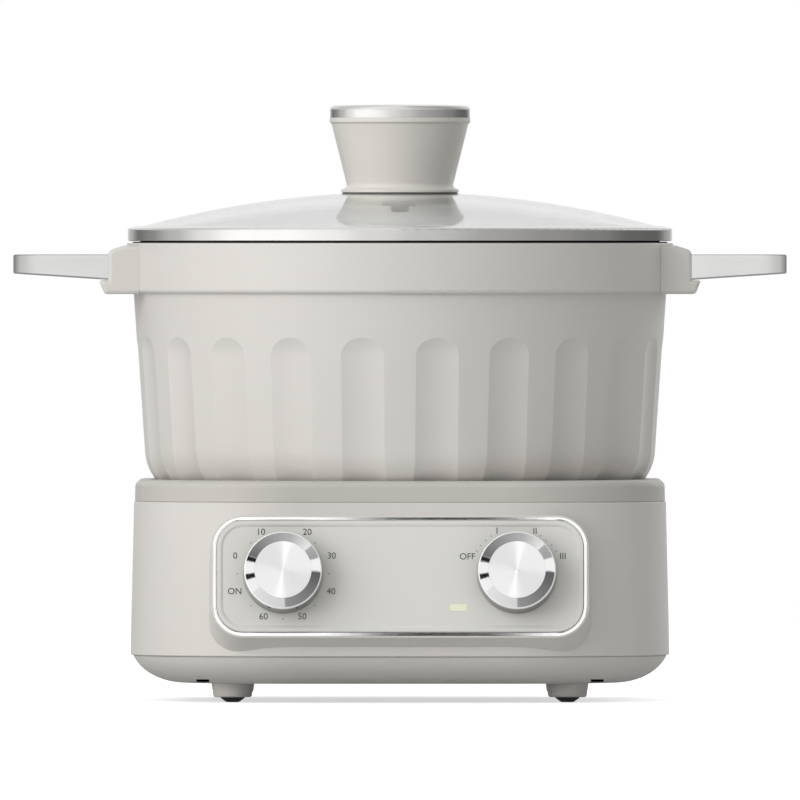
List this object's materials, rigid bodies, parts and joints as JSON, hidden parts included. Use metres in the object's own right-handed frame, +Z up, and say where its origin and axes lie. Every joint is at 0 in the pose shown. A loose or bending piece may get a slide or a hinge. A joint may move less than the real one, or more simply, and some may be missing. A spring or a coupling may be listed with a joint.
{
  "type": "electric hot pot",
  "caption": "Split electric hot pot: fluted round pot with loop handles and a domed glass lid, lifting off a square heating base with a tilted panel and turning dials.",
  "frame": {"origin": "on the table under the middle of the whole object, dials included", "axes": "+Z up, -Y towards the user (control panel), +X to the right of the user"},
  "size_m": [0.371, 0.2826, 0.286],
  "materials": {
    "glass": "clear tempered glass",
    "rim_steel": "polished rolled rim",
    "silicone": "matt",
    "knob_plastic": "satin",
    "knob_cap": "satin",
    "steel": "plain",
    "pot_coat": "satin light grey coating",
    "handle_metal": "polished",
    "base_plastic": "satin light grey",
    "cover_plastic": "satin grey",
    "dark_plastic": "matt",
    "pad_rubber": "matt",
    "plate_metal": "cast and turned",
    "element_sheath": "drawn tube",
    "panel_chrome": "bright",
    "face_metal": "satin",
    "lens": "tinted window",
    "board": "circuit board",
    "dial_chrome": "bright",
    "dial_face": "spun",
    "switch_plastic": "matt",
    "brass": "plain"
  },
  "bodies": {
    "base": {"base_shell": "base_plastic", "base_top_cover": "cover_plastic", "base_bottom_cover": "base_plastic", "feet": "base_plastic", "foot_pads": "pad_rubber", "cover_screws": "steel", "heating_plate": "plate_metal", "heating_element": "element_sheath", "plate_legs": "steel", "plate_screws": "steel", "heat_shield": "steel", "thermal_fuse": "switch_plastic", "sensor_strap": "steel", "panel_frame": "panel_chrome", "face_plate": "face_metal", "indicator_lens": "lens", "indicator_board": "board", "timer_body": "switch_plastic", "heat_switch_body": "switch_plastic", "power_inlet": "dark_plastic", "inlet_pins": "brass", "inlet_screws": "steel", "terminal_block": "switch_plastic"},
    "pot": {"pot_body": "pot_coat", "handle_bracket_right": "pot_coat", "handle_bracket_left": "pot_coat", "handle_loop_right": "handle_metal", "handle_loop_left": "handle_metal", "handle_screws": "steel"},
    "lid": {"lid_glass": "glass", "lid_rim": "rim_steel", "lid_seal": "silicone", "lid_knob": "knob_plastic", "lid_knob_cap": "knob_cap", "lid_knob_gasket": "silicone", "lid_knob_washer": "steel", "lid_knob_screw": "steel"},
    "timer_dial": {"timer_shaft": "steel", "timer_knob": "dial_chrome", "timer_knob_face": "dial_face"},
    "heat_dial": {"heat_shaft": "steel", "heat_knob": "dial_chrome", "heat_knob_face": "dial_face"},
    "sensor": {"sensor_cap": "steel", "sensor_spring": "steel"}
  },
  "joints": [
    {"name": "pot_lift", "type": "slide", "parent": "base", "child": "pot", "axis": [0, 0, 1], "range_m": [0, 0.12]},
    {"name": "lid_lift", "type": "slide", "parent": "pot", "child": "lid", "axis": [0, 0, 1], "range_m": [0, 0.15]},
    {"name": "timer_turn", "type": "hinge", "parent": "base", "child": "timer_dial", "pos_m": [-0.0557, -0.12194, 0.06174], "axis": [0, -0.9903, 0.1392], "range_deg": [-270, 45]},
    {"name": "heat_turn", "type": "hinge", "parent": "base", "child": "heat_dial", "pos_m": [0.0557, -0.12194, 0.06174], "axis": [0, -0.9903, 0.1392], "range_deg": [-135, 0]},
    {"name": "sensor_press", "type": "slide", "parent": "base", "child": "sensor", "axis": [0, 0, 1], "range_m": [-0.0025, 0], "stiffness_N_per_m": 400, "springref_m": 0.005, "deforming": ["sensor_spring"]}
  ]
}
